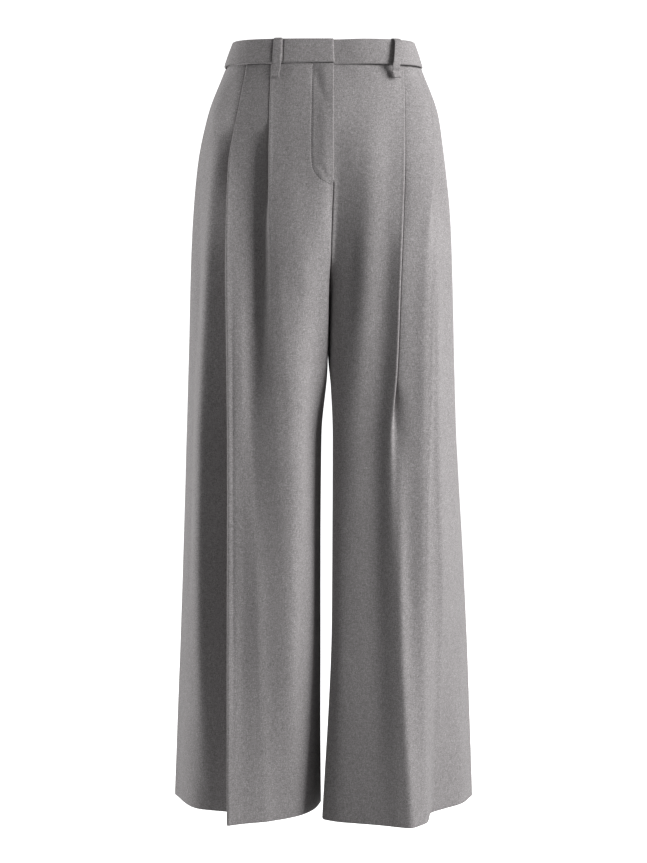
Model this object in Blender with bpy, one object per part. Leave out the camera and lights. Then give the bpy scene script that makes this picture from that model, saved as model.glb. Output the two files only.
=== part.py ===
"""Pleated wide-leg dress trousers, hollow as worn, with the waist and both hems open.

Frame: metres, +Z up, origin at the centre of the waist opening's top edge. The front faces -Y
and the wearer's left is +X. Lengths below are in millimetres, and a drop is a distance down
from the waist's top edge.

Each leg panel is a cloth wall lofted through level sections. A section runs through the named
lines of the cloth, from the side seam to the centre: a pleat's lines are worked out from the
place of its edge, the reach of its underlay and the angle to which it has opened.
"""

import math

import bmesh
import bpy
import numpy as np

MM = 0.001

# Cloth
WALL = 1.2
PLY_GAP = 0.5
SEAM = 0.3
PLEAT_STEP = 2 * WALL + PLY_GAP

# Heights of the main seams, as drops
BAND_HEIGHT = 34.8
PANEL_TOP = 35.1
FORK = 350.0

# Fork of the crotch, in plan, and where its seam leaves the centre front and centre back
FORK_X = 2.0
FORK_Y = -12.0
FRONT_CURVE_TOP = 290.0
BACK_CURVE_TOP = 260.0

# Drops at which the tables below give the cloth's lines, and those at which it is lofted.
# The last one is the hem.
DROPS = (35, 100, 170, 240, 310, 450, 550, 800, 1097)
ROWS = (
    35, 58, 85, 112, 140, 170, 200, 230, 260, 290, 315,
    335, 350, 380, 415, 455, 510, 600, 720, 880, 1097,
)

# The panels' named lines, from the side seam to the centre: (x, y) at each of DROPS
RIGHT_FRONT = {
    "side": (
        (-139.5, 0), (-165, 0), (-180, 0), (-187, 0), (-191, 0),
        (-195.5, 0), (-199, 0), (-209, 0), (-222, -10),
    ),
    "ridge": (
        (-131, -43), (-154, -46), (-161, -56), (-168, -58), (-171, -62),
        (-178.5, -66.5), (-184, -68), (-190, -68), (-186, -73),
    ),
    "bank": (
        (-120, -60), (-139, -66), (-150, -74), (-158, -80), (-162, -88),
        (-169, -93), (-173, -94), (-177, -88), (-172, -79),
    ),
    "outer pleat": (
        (-105.5, -72), (-118, -88), (-130, -98), (-132.5, -107), (-133.5, -112.5),
        (-132.5, -122), (-132, -127), (-133.5, -139), (-135, -147),
    ),
    "mid": (
        (-83, -81), (-96, -95), (-106, -98), (-110, -103.5), (-112, -109.5),
        (-113, -121), (-113, -126), (-112, -136.5), (-111, -138),
    ),
    "inner pleat": (
        (-71, -88.5), (-73, -105), (-74, -113), (-74, -118.5), (-72, -122.5),
        (-67, -130.5), (-62, -134), (-53, -136.5), (-54, -118),
    ),
    "shoulder": (
        (-62, -90.2), (-64, -106.1), (-64, -114.2), (-62, -121.5), (-59, -126.5),
        (-52, -132.5), (-46, -134), (-43, -135), (-46, -113),
    ),
    "flat": (
        (-40, -94.5), (-40, -109.3), (-40, -117), (-38, -124.5), (-34, -128),
        (-31, -128.5), (-31, -127), (-30, -122), (-30, -101),
    ),
    "corner": (
        (0, -96), (0, -111.5), (0, -119), (0, -121), (-4, -117.5),
        (-16, -113), (-20, -105), (-14, -98), (-11, -72),
    ),
    "thigh": (
        (9, -96), (9, -111.5), (9, -117.5), (9, -116), (8.5, -111),
        (6, -94), (-2, -68), (-3.5, -54), (-3.5, -44),
    ),
}
LEFT_FRONT = {
    "side": (
        (139.5, 0), (163.5, 0), (173, 0), (179, 0), (183, 0),
        (188.5, 0), (193, 0), (209, -4), (221.5, -14),
    ),
    "hip": (
        (137, -25), (159.5, -33), (171, -42), (178, -52), (181, -58),
        (185, -62), (188, -62), (197, -56), (203, -52),
    ),
    "outer pleat": (
        (131.5, -42), (153, -56), (155, -87), (147, -109), (141, -119.5),
        (139, -127.5), (139, -130), (140.5, -137), (148, -135),
    ),
    "mid": (
        (120, -58), (136, -74), (133, -100), (124, -114.5), (117, -122),
        (115, -127.5), (115, -130.5), (120, -140), (130, -154),
    ),
    "inner pleat": (
        (111, -68.5), (112, -86), (111, -107), (108.5, -118.5), (105.5, -126.5),
        (100.5, -130), (94, -133.5), (98, -143.5), (107, -154),
    ),
    "valley": (
        (91, -81), (92, -94), (90, -110.5), (89, -119.5), (85, -122),
        (79, -120), (73, -121), (78, -131), (84, -146),
    ),
    "ridge": (
        (61, -91), (63, -103.5), (63, -119), (64, -124.5), (62, -126),
        (55, -122), (48, -120), (48, -128), (45, -137),
    ),
    "facet": (
        (40, -94.5), (40, -107.5), (40, -118), (38, -118.3), (31, -113),
        (20, -107), (18, -107), (19, -121), (20, -131),
    ),
    "corner": (
        (22, -95.6), (22, -110.3), (21, -116), (19, -112.5), (15, -105),
        (9.5, -94), (12.5, -93), (11, -108), (-3, -119),
    ),
}
RIGHT_BACK = {
    "hip": (
        (-128, 49), (-149, 50), (-163, 53.5), (-170, 54), (-173, 54),
        (-177.5, 54), (-181, 54), (-190, 54), (-202, 50),
    ),
    "fold": (
        (-108, 70), (-128, 73), (-141, 77.5), (-148, 77), (-151, 76),
        (-155.5, 73.5), (-159, 72), (-166, 71), (-173, 69),
    ),
    "crease": (
        (-80, 85), (-96, 92), (-106, 100), (-111, 104), (-113, 106),
        (-114.5, 107.5), (-116, 109), (-120, 111), (-125, 113),
    ),
    "seat": (
        (-48, 93.3), (-56, 106), (-60, 117), (-60, 120), (-60, 117),
        (-60, 108), (-60, 104), (-62, 100), (-66, 98),
    ),
    "corner": (
        (-22, 95.2), (-22, 111), (-20, 123.5), (-17, 125), (-13, 117),
        (-15.5, 100.5), (-18, 94), (-22, 88), (-24, 84),
    ),
}
LEFT_BACK = {
    "hip": (
        (128, 49), (148, 50), (157, 53), (163, 53), (166, 54),
        (171.5, 51.5), (176, 50), (190, 46), (201, 38),
    ),
    "fold": (
        (108, 70), (128, 72.5), (137, 76), (143, 75.5), (146, 74),
        (150.5, 69.5), (154, 67), (163, 64), (172, 60),
    ),
    "crease": (
        (78, 85.7), (94, 93), (102, 100.5), (106, 104), (109, 107),
        (112, 110), (114, 112), (120, 114), (126, 116),
    ),
    "seat": (
        (40, 94.5), (46, 108), (48, 119), (50, 121), (52, 117),
        (58, 108), (62, 104), (66, 100), (66, 98),
    ),
    "corner": (
        (-6, 95.8), (-5, 112), (-3, 124), (-1, 125), (3, 117),
        (13.5, 99.5), (20, 92), (24, 84), (16, 80),
    ),
}
FRONTS = {"right": RIGHT_FRONT, "left": LEFT_FRONT}
BACKS = {"right": RIGHT_BACK, "left": LEFT_BACK}

# Each pleat at each of DROPS: how far its underlay reaches (mm), and the angle it has opened to
# (degrees: 0 is pressed flat, 90 stands straight in, 180 lies open)
PLEATS = {
    "right": {
        "outer pleat": (
            (24, 0), (24, 6), (20, 43), (14, 56), (18, 73),
            (24, 80), (32, 79), (52, 72), (56, 61),
        ),
        "inner pleat": (
            (23, 0), (23, 4), (12, 60), (15, 118), (19, 136),
            (28, 156), (32, 164), (30, 172), (18, 172),
        ),
    },
    "left": {
        "outer pleat": (
            (20, 0), (20, 8), (18, 40), (15, 110), (14, 144),
            (16, 148), (18, 148), (28, 142), (40, 144),
        ),
        "inner pleat": (
            (22, 0), (22, 4), (21, 5), (20, 5), (16, 5),
            (9, 5), (4, 70), (4, 165), (10, 172),
        ),
    },
}
# The angles between which the layer below a pleat lets go of the pleat's edge
SETTLE_FROM = 6.0
SETTLE_TO = 20.0
# How far along it then lies from the lap to the line before the pleat
LET_GO = 0.45
# How far the lap's two layers stand apart once a pleat is open
OPEN_SPREAD = 5.0

# The legs' inseams at each of INSEAM_DROPS
INSEAM_DROPS = (350, 450, 550, 800, 1097)
INSEAMS = {
    "right": ((2, -12), (5.5, -14), (-8, -22), (-9, -28), (-3.5, -34)),
    "left": ((2, -12), (7, -12), (19, -14), (20, -18), (9, -26)),
}

# The centre front and centre back seams at each of CENTRE_DROPS
CENTRE_DROPS = (35, 100, 170, 240, 310)
CENTRES = {
    "front": ((14, -96), (14, -111.5), (14, -117), (12, -114), (10, -107)),
    "back": ((-14, 95.5), (-13, 111.7), (-11, 123.8), (-9, 125), (-6, 120)),
}

# Waistband: half width and half depth of its outer face at its top and at its foot. Its plan is
# a superellipse, squarer than an ellipse. The underlap steps in at the lap's end, over the ramp's
# turns from there (degrees).
BAND_WALL = 2.2
BAND_TOP_HALF = (128.0, 94.0)
BAND_FOOT_HALF = (140.0, 97.5)
BAND_SQUARENESS = 3.0
BAND_CELLS = 26
RAMP_CELLS = 4
CENTRE_TURN = 5.8
UNDERLAP = 38.0
UNDERLAP_RAMP = (-0.6, 0.7)
UNDERLAP_INSET = BAND_WALL + 2.6

# Belt loops: the turn round the waist of each one's middle at its top and at its foot (degrees
# from the front, + to +X), and how far it stands off the band (mm)
LOOPS = {
    "belt_loop_front_right": (-26.7, -25.2, 3.0),
    "belt_loop_front_left": (43.6, 38.5, 7.6),
    "belt_loop_back_right": (-128.0, -128.0, 7.6),
    "belt_loop_back_left": (118.0, 118.0, 7.6),
    "belt_loop_centre_back": (-174.2, -174.2, 7.6),
}
LOOP_WIDTH = 11.5
LOOP_THICK = 1.6
LOOP_GAP = 0.4
LOOP_LIP = 1.5
LOOP_FOOT = (43.5, 50.0)
# Shares of the band's height at which a loop reaches its full stand, leaves it and meets the foot
LOOP_STATIONS = (0.2, 0.85, 1.06)

# Fly zip, set behind the fronts
ZIP_STAND = 1.9
ZIP_GAP = 0.6
ZIP_TOP = 40.0
ZIP_FOOT = 178.0
ZIP_ROWS = 7
ZIP_TAPE_WIDTH = 16.0
ZIP_TAPE_THICK = 1.0
ZIP_CHAIN_WIDTH = 5.0
ZIP_CHAIN_THICK = 1.5
ZIP_CHAIN_FOOT = 174.0
ZIP_SLIDER_WIDTH = 8.0
ZIP_SLIDER_THICK = 3.0
ZIP_SLIDER_TOP = 42.0
ZIP_SLIDER_FOOT = 55.0

# Waist hook and bar, between the waistband's lapped end and its underlap
HOOK_TURNS = (-5.0, -2.5, 0.0)
HOOK_TOP = 13.0
HOOK_HEIGHT = 10.0
HOOK_THICK = 0.8

WOOL = ("wool", (0.26, 0.25, 0.25, 1), 0.9, 0.0)
TAPE = ("zip_tape", (0.12, 0.12, 0.12, 1), 0.8, 0.0)
STEEL = ("steel", (0.6, 0.6, 0.6, 1), 0.35, 1.0)


def clear_scene():
    for obj in list(bpy.data.objects):
        bpy.data.objects.remove(obj)


def material(spec):
    name, colour, roughness, metallic = spec
    made = bpy.data.materials.get(name) or bpy.data.materials.new(name)
    made.use_nodes = True
    shader = made.node_tree.nodes["Principled BSDF"]
    shader.inputs["Base Color"].default_value = colour
    shader.inputs["Roughness"].default_value = roughness
    shader.inputs["Metallic"].default_value = metallic
    return made


def unit(vectors):
    """The vectors at length 1."""
    vectors = np.asarray(vectors, float)
    return vectors / np.linalg.norm(vectors, axis=-1, keepdims=True)


def smooth(knots, values, at):
    """A curve through the values that never overshoots them (monotone cubic), read at some places."""
    knots = np.asarray(knots, float)
    values = np.asarray(values, float).reshape(len(knots), -1)
    at = np.clip(np.atleast_1d(at), knots[0], knots[-1])
    step = np.diff(knots)[:, None]
    slope = np.diff(values, axis=0) / step
    tangent = np.vstack([slope[:1], np.zeros((len(knots) - 2, values.shape[1])), slope[-1:]])
    if len(knots) > 2:
        before, after = slope[:-1], slope[1:]
        agree = before * after > 0
        weight_before = step[:-1] + 2 * step[1:]
        weight_after = 2 * step[:-1] + step[1:]
        parts = weight_before / np.where(agree, before, 1) + weight_after / np.where(agree, after, 1)
        tangent[1:-1] = np.where(agree, (weight_before + weight_after) / parts, 0)
    cell = np.clip(np.searchsorted(knots, at, side="right") - 1, 0, len(knots) - 2)
    width = step[cell]
    u = (at - knots[cell])[:, None] / width
    return (
        (1 + 2 * u) * (1 - u) ** 2 * values[cell]
        + u * (1 - u) ** 2 * width * tangent[cell]
        + u**2 * (3 - 2 * u) * values[cell + 1]
        + u**2 * (u - 1) * width * tangent[cell + 1]
    )


def curve_through(points, cells):
    """Points on a smooth curve through the given ones; cells is how many each stretch gets."""
    points = np.asarray(points, float)
    knots = np.concatenate([[0], np.cumsum(np.linalg.norm(np.diff(points, axis=0), axis=1))])
    at = [knots[0]]
    for start, end, count in zip(knots, knots[1:], cells):
        at.extend(np.linspace(start, end, count + 1)[1:])
    return smooth(knots, points, np.array(at))


def straight(start, end, cells):
    return np.linspace(start, end, cells + 1)


def at_drop(line, drop, drops=DROPS):
    return smooth(drops, line, drop)[0]


def pleat_points(edge, ahead, reach, angle):
    """A pleat's five lines, from the layer below it to its edge.

    The top layer runs from the edge towards the line ahead of it. The underlay turns back under
    the edge, reaches in, and turns again at the lap into the layer below.
    """
    along = unit(ahead - edge)
    inward = np.array([-along[1], along[0]]) if along[0] > 0 else np.array([along[1], -along[0]])
    turn = math.radians(angle)
    strip = math.cos(turn) * along + math.sin(turn) * inward
    across = -math.sin(turn) * along + math.cos(turn) * inward
    half = math.cos(turn / 2) * inward - math.sin(turn / 2) * along
    edge_under = edge + PLEAT_STEP * half
    deep = edge_under + reach * strip
    spread = PLY_GAP + OPEN_SPREAD * min(angle / 90, 1)
    out = min(turn, math.pi / 2)
    deep_under = deep + spread * (math.cos(out) * inward - math.sin(out) * along)
    below_edge = edge_under + PLY_GAP * across
    return below_edge, deep_under, deep, edge_under, edge


def front_section(side, drop):
    """The right side of a front panel at one drop, from the side seam to the centre or inseam."""
    lines = {name: at_drop(line, drop) for name, line in FRONTS[side].items()}
    names = list(lines)
    run = []
    pieces = []
    for index, name in enumerate(names):
        if not name.endswith("pleat"):
            run.append(lines[name])
            continue
        reach, angle = at_drop(PLEATS[side][name], drop)
        ahead = lines[names[index + 1]]
        below, deep_under, deep, edge_under, edge = pleat_points(lines[name], ahead, reach, angle)
        settled = min(max((angle - SETTLE_FROM) / (SETTLE_TO - SETTLE_FROM), 0), 1)
        onward = deep_under + LET_GO * (run[-1] - deep_under)
        run += [below + settled * (onward - below), deep_under]
        pieces.append(curve_through(run, [3] * (len(run) - 2) + [2]))
        pieces.append(curve_through([deep, edge_under], [2]))
        run = [edge]
    pieces.append(curve_through(run, [2] * (len(run) - 1)))
    pieces.append(straight(run[-1], centre_end("front", side, drop), 3)[1:])
    return np.vstack(pieces)


def back_section(side, drop):
    """The right side of a back panel at one drop, from the side seam to the centre or inseam."""
    run = [at_drop(FRONTS[side]["side"], drop)]
    run += [at_drop(line, drop) for line in BACKS[side].values()]
    to_centre = straight(run[-1], centre_end("back", side, drop), 3)[1:]
    return np.vstack([curve_through(run, [2] * (len(run) - 1)), to_centre])


def centre_end(face, side, drop):
    """Where a panel ends at one drop: on the centre seam, on the crotch curve or on the inseam."""
    sign = -1 if side == "right" else 1
    if drop >= FORK:
        end = at_drop(INSEAMS[side], drop, INSEAM_DROPS)
        end[1] += (-0.5 if face == "front" else 0.5) * SEAM
    else:
        centre = at_drop(CENTRES[face], drop, CENTRE_DROPS)
        top = FRONT_CURVE_TOP if face == "front" else BACK_CURVE_TOP
        fall = min(max((drop - top) / (FORK - top), 0), 1)
        fork = np.array([FORK_X, FORK_Y])
        end = fork + math.sqrt(1 - fall**2) * (centre - fork)
    if drop <= FORK:
        end[0] += sign * 0.5 * SEAM
    return end


def inside(section, inward_sign, side_normal, inseam_normal):
    """The wrong side of a section: each point moved in by the wall, square at the corners.

    The normals at the side seam and at the inseam are given, so that the panels meet squarely
    there. Where the panel ends on the centre seam, inseam_normal is None and the wall keeps to
    the panel's own side of that seam.
    """
    edges = unit(np.diff(section, axis=0))
    normals = np.stack([-edges[:, 1], edges[:, 0]], -1) * inward_sign
    before = np.vstack([normals[:1], normals])
    after = np.vstack([normals, normals[-1:]])
    bisector = unit(before + after)
    lengthen = 1 / np.clip((bisector * after).sum(-1), 0.6, 1)
    bisector[0] = side_normal
    lengthen[0] = 1
    if inseam_normal is not None:
        bisector[-1] = inseam_normal
    elif bisector[-1, 0] * side_normal[0] > 0:
        bisector[-1] = (0, np.sign(bisector[-1, 1]))
    return section + WALL * lengthen[:, None] * bisector


def loft(name, rows, spec):
    """A closed solid through rings of points, one ring a row, with flat strips closing both ends.

    rows holds, for each ring, its outer points and its inner points, as many of each. Each cell
    is split in two along the same diagonal on both sides, so that a twisted wall stays whole.
    """
    mesh = bmesh.new()
    rings = []
    for outer, inner in rows:
        ring = [mesh.verts.new(np.asarray(point) * MM) for point in outer]
        ring += [mesh.verts.new(np.asarray(point) * MM) for point in reversed(list(inner))]
        rings.append(ring)
    count = len(rings[0])
    for upper, lower in zip(rings, rings[1:]):
        for index in range(count):
            following = (index + 1) % count
            corners = (upper[index], upper[following], lower[following], lower[index])
            first = 0 if index < count // 2 else 1
            for step in (0, 2):
                mesh.faces.new([corners[(first + step + turn) % 4] for turn in range(3)])
    for ring in (rings[0], rings[-1]):
        for index in range(count // 2 - 1):
            opposite = count - 1 - index
            mesh.faces.new((ring[index], ring[index + 1], ring[opposite - 1], ring[opposite]))
    bmesh.ops.recalc_face_normals(mesh, faces=mesh.faces)
    data = bpy.data.meshes.new(name)
    mesh.to_mesh(data)
    mesh.free()
    data.shade_smooth()
    data.materials.append(material(spec))
    made = bpy.data.objects.new(name, data)
    bpy.data.collections["pleated_trousers"].objects.link(made)
    return made


def level(points, drop):
    """Plan points at a drop, as 3-D points."""
    return [(x, y, -drop) for x, y in points]


def panel(face, side):
    """A leg panel. Its right side runs from the side seam to the centre seam and inseam."""
    to_axis = 1.0 if side == "right" else -1.0
    to_front = -1.0 if face == "front" else 1.0
    rows = []
    for drop in ROWS:
        section = (front_section if face == "front" else back_section)(side, drop)
        section[0, 1] += to_front * 0.5 * SEAM
        inseam_normal = (-to_axis, 0.0) if drop >= FORK else None
        inner = inside(section, -to_axis * to_front, (to_axis, 0.0), inseam_normal)
        at = max(drop, PANEL_TOP)
        rows.append((level(section, at), level(inner, at)))
    return loft(f"{face}_{side}", rows, WOOL)


def band_point(turn, drop, inset=0.0):
    """A point on the waistband's outer face, or that far inside it, and the way out there."""
    share = drop / BAND_HEIGHT
    half_width = BAND_TOP_HALF[0] + share * (BAND_FOOT_HALF[0] - BAND_TOP_HALF[0])
    half_depth = BAND_TOP_HALF[1] + share * (BAND_FOOT_HALF[1] - BAND_TOP_HALF[1])
    angle = math.radians(turn)
    ray = np.array([math.sin(angle), -math.cos(angle)])
    ray /= (np.abs(ray) ** BAND_SQUARENESS).sum() ** (1 / BAND_SQUARENESS)
    half = np.array([half_width, half_depth])
    outward = unit(np.sign(ray) * np.abs(ray) ** (BAND_SQUARENESS - 1) / half)
    return ray * half - inset * outward, outward


def band_rows(turns, insets):
    rows = []
    for drop in (0.0, BAND_HEIGHT / 2, BAND_HEIGHT):
        outer = [band_point(turn, drop, inset)[0] for turn, inset in zip(turns, insets)]
        inner = [band_point(turn, drop, inset + BAND_WALL)[0] for turn, inset in zip(turns, insets)]
        rows.append((level(outer, drop), level(inner, drop)))
    return rows


def waistband_right():
    seam_turn = math.degrees(0.5 * SEAM / BAND_FOOT_HALF[0])
    turns = np.linspace(CENTRE_TURN, CENTRE_TURN - 180 + seam_turn, BAND_CELLS + 1)
    return loft("waistband_right", band_rows(turns, np.zeros(len(turns))), WOOL)


def waistband_left():
    """The left half runs on under the right half's end as the underlap."""
    seam_turn = math.degrees(0.5 * SEAM / BAND_FOOT_HALF[0])
    underlap = math.degrees(UNDERLAP / BAND_FOOT_HALF[0])
    ramp = CENTRE_TURN + np.linspace(*UNDERLAP_RAMP, RAMP_CELLS + 1)
    turns = np.concatenate([
        np.linspace(CENTRE_TURN - underlap, ramp[0], RAMP_CELLS + 1)[:-1],
        ramp,
        np.linspace(ramp[-1], CENTRE_TURN + 180 - seam_turn, BAND_CELLS)[1:],
    ])
    share = np.clip((turns - ramp[0]) / (ramp[-1] - ramp[0]), 0, 1)
    insets = UNDERLAP_INSET * (1 - share**2 * (3 - 2 * share))
    return loft("waistband_left", band_rows(turns, insets), WOOL)


def cloth_stand(turn, drop):
    """How far the panels stand out of the band's outline at a drop, across a belt loop's width."""
    place, outward = band_point(turn, drop)
    sideways = np.array([-outward[1], outward[0]])
    reach = LOOP_WIDTH / 2 + SEAM
    stand = 0.0
    for side in ("right", "left"):
        for section in (front_section(side, drop), back_section(side, drop)):
            steps = np.linspace(0, 1, 9)[:, None, None]
            points = (section[:-1] + steps * (section[1:] - section[:-1])).reshape(-1, 2) - place
            near = (np.abs(points @ sideways) < reach) & (points @ outward > -BAND_TOP_HALF[1])
            stand = max(stand, *(points[near] @ outward), 0.0)
    return stand


def loop_stations(foot_turn, stand):
    """A belt loop's path over the band: (distance off the band's outer face, drop)."""
    foot = [cloth_stand(foot_turn, drop) + LOOP_GAP + LOOP_THICK / 2 for drop in LOOP_FOOT]
    over = -LOOP_GAP - LOOP_THICK / 2
    full, leave, meet = (share * BAND_HEIGHT for share in LOOP_STATIONS)
    return (
        (-BAND_WALL, over),
        (LOOP_LIP, over),
        (stand - LOOP_LIP, LOOP_LIP),
        (stand, full),
        (max(stand, foot[0]), leave),
        (max(stand - LOOP_LIP, foot[0]), meet),
        (foot[0], LOOP_FOOT[0]),
        (foot[1], LOOP_FOOT[1]),
    )


def belt_loop(name, top_turn, foot_turn, stand):
    """A strip sewn over the band's top edge, standing off it, and sewn down below its seam."""
    centre = []
    for out, drop in loop_stations(foot_turn, stand):
        share = min(max(drop / BAND_HEIGHT, 0), 1)
        place, outward = band_point(top_turn + share * (foot_turn - top_turn), drop)
        place = place + out * outward
        centre.append((place[0], place[1], -drop))
    centre = np.array(centre)
    outward = np.append(band_point((top_turn + foot_turn) / 2, BAND_HEIGHT / 2)[1], 0.0)
    sideways = np.cross((0, 0, 1), outward)
    edges = unit(np.diff(centre, axis=0))
    before = np.vstack([edges[:1], edges])
    after = np.vstack([edges, edges[-1:]])
    direction = unit(before + after)
    face = unit(np.cross(sideways, direction))
    stretch = 1 / np.clip((direction * after).sum(-1), 0.6, 1)
    rows = []
    for point, normal, scale in zip(centre, face, stretch):
        across = sideways * LOOP_WIDTH / 2
        out = normal * scale * LOOP_THICK / 2
        outer = [point - across + out, point + across + out]
        inner = [point - across - out, point + across - out]
        rows.append((outer, inner))
    return loft(name, rows, WOOL)


def fly_strip(name, width, depth, thick, top, foot, spec):
    """A flat upright strip behind the centre front seam, that far behind the fronts' right side."""
    rows = []
    for drop in np.linspace(top, foot, ZIP_ROWS):
        x, y = at_drop(CENTRES["front"], drop, CENTRE_DROPS)
        outer = [(x - width / 2, y + depth), (x + width / 2, y + depth)]
        inner = [(x - width / 2, y + depth + thick), (x + width / 2, y + depth + thick)]
        rows.append((level(outer, drop), level(inner, drop)))
    return loft(name, rows, spec)


def fly_zip():
    """The closed zip: its tape stands just behind the fronts, with the chain and slider on it."""
    tape = WALL + ZIP_STAND
    chain = tape + ZIP_TAPE_THICK + ZIP_GAP
    chain_top = ZIP_SLIDER_FOOT + SEAM
    fly_strip("fly_zip_tape", ZIP_TAPE_WIDTH, tape, ZIP_TAPE_THICK, ZIP_TOP, ZIP_FOOT, TAPE)
    fly_strip(
        "fly_zip_chain", ZIP_CHAIN_WIDTH, chain, ZIP_CHAIN_THICK, chain_top, ZIP_CHAIN_FOOT, STEEL
    )
    fly_strip(
        "fly_zip_slider", ZIP_SLIDER_WIDTH, chain, ZIP_SLIDER_THICK,
        ZIP_SLIDER_TOP, ZIP_SLIDER_FOOT, STEEL,
    )


def waist_plate(name, inset):
    """A small steel plate between the waistband's lapped end and its underlap, following both."""
    rows = []
    for drop in (HOOK_TOP, HOOK_TOP + HOOK_HEIGHT):
        outer = [band_point(turn, drop, inset)[0] for turn in HOOK_TURNS]
        inner = [band_point(turn, drop, inset + HOOK_THICK)[0] for turn in HOOK_TURNS]
        rows.append((level(outer, drop), level(inner, drop)))
    return loft(name, rows, STEEL)


def main():
    clear_scene()
    collection = bpy.data.collections.new("pleated_trousers")
    bpy.context.scene.collection.children.link(collection)
    for side in ("right", "left"):
        panel("front", side)
        panel("back", side)
    waistband_right()
    waistband_left()
    for name, placing in LOOPS.items():
        belt_loop(name, *placing)
    fly_zip()
    waist_plate("waist_hook", BAND_WALL + SEAM)
    waist_plate("waist_bar", BAND_WALL + 2 * SEAM + HOOK_THICK)


main()
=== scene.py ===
"""The looks of the pleated wide-leg dress trousers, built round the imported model.

Lengths are in millimetres in the tables and wherever cloth is shaped, and become metres when a
mesh is made. A drop is a distance down from the waist's top edge. The front faces -Y and the
wearer's left is +X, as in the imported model.

Each panel is a thin shell on its solid's form: level sections run through the named lines of the
cloth, a relief of soft creases is pressed into them, and the edges turn in at seams and hems.
"""

import math

import bpy
import numpy as np
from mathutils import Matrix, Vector, noise
from mathutils.bvhtree import BVHTree


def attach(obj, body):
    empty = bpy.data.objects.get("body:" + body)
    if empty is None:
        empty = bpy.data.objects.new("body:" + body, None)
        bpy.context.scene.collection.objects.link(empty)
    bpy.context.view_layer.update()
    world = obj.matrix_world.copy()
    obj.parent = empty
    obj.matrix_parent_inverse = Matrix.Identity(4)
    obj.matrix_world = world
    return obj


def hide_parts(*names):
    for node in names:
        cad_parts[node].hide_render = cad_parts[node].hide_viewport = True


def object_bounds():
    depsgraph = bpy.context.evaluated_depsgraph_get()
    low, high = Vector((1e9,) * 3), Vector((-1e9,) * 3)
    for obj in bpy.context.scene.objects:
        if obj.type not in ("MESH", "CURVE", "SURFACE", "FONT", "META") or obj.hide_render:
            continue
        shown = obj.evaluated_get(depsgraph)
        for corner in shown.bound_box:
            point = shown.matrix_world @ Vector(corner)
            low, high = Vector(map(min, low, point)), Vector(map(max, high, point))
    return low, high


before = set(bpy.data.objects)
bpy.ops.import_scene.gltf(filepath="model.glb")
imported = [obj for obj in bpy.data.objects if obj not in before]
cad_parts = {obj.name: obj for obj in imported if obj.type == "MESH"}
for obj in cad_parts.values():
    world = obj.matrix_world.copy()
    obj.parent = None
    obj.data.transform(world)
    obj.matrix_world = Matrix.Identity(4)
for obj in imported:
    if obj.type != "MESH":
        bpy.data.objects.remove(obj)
cad_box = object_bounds()

MM = 0.001

# Cloth
CLOTH = 0.8
WALL = 1.2
PLY_GAP = 0.5
SEAM = 0.3
PLEAT_STEP = 2 * WALL + PLY_GAP
EDGE_RADIUS = 0.7
CENTRE_RADIUS = 2.4
LAP_RADIUS = 1.1
LAP_STAND = 1.7
LAP_EXTRA = 6.0
# The places across over which the lap rises, and the drops from the fly's foot over which it ends
LAP_ACROSS = (-13.0, 4.0)
FLY_FADE = (-10.0, 4.0)
# What lies further forward than this is a right front's outer layer near the fly
FLY_FRONT = -60.0

# Heights of the main seams, as drops
BAND_HEIGHT = 34.8
SEAM_GROOVE = 1.5
BAND_CROWN = 0.18
PANEL_TOP = 35.1
FLY_BOTTOM = 192.0
FORK = 350.0
HEM = 1097.0
HEM_DEPTH = 38.0
SEAM_RISE = {"right": 2.5, "left": 0.6}
# How far in front of the side seams the rise is whole, and the drop below the seam where it is gone
RISE_REACH = 60.0
RISE_FADE = 20.0

# Fork of the crotch, in plan, and where its seam leaves the centre front and centre back
FORK_X = 2.0
FORK_Y = -12.0
FRONT_CURVE_TOP = 290.0
BACK_CURVE_TOP = 260.0

# Drops at which the tables below give the cloth's lines. The last one is the hem.
DROPS = (35, 100, 170, 240, 310, 450, 550, 800, 1097)

# The panels' named lines, from the side seam to the centre: (x, y) at each of DROPS
RIGHT_FRONT = {
    "side": (
        (-139.5, 0), (-165, 0), (-180, 0), (-187, 0), (-191, 0),
        (-195.5, 0), (-199, 0), (-209, 0), (-222, -10),
    ),
    "ridge": (
        (-131, -43), (-154, -46), (-161, -56), (-168, -58), (-171, -62),
        (-178.5, -66.5), (-184, -68), (-190, -68), (-186, -73),
    ),
    "bank": (
        (-120, -60), (-139, -66), (-150, -74), (-158, -80), (-162, -88),
        (-169, -93), (-173, -94), (-177, -88), (-172, -79),
    ),
    "outer pleat": (
        (-105.5, -72), (-118, -88), (-130, -98), (-132.5, -107), (-133.5, -112.5),
        (-132.5, -122), (-132, -127), (-133.5, -139), (-135, -147),
    ),
    "mid": (
        (-83, -81), (-96, -95), (-106, -98), (-110, -103.5), (-112, -109.5),
        (-113, -121), (-113, -126), (-112, -136.5), (-111, -138),
    ),
    "inner pleat": (
        (-71, -88.5), (-73, -105), (-74, -113), (-74, -118.5), (-72, -122.5),
        (-67, -130.5), (-62, -134), (-53, -136.5), (-54, -118),
    ),
    "shoulder": (
        (-62, -90.2), (-64, -106.1), (-64, -114.2), (-62, -121.5), (-59, -126.5),
        (-52, -132.5), (-46, -134), (-43, -135), (-46, -113),
    ),
    "flat": (
        (-40, -94.5), (-40, -109.3), (-40, -117), (-38, -124.5), (-34, -128),
        (-31, -128.5), (-31, -127), (-30, -122), (-30, -101),
    ),
    "corner": (
        (0, -96), (0, -111.5), (0, -119), (0, -121), (-4, -117.5),
        (-16, -113), (-20, -105), (-14, -98), (-11, -72),
    ),
    "thigh": (
        (9, -96), (9, -111.5), (9, -117.5), (9, -116), (8.5, -111),
        (6, -94), (-2, -68), (-3.5, -54), (-3.5, -44),
    ),
}
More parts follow.
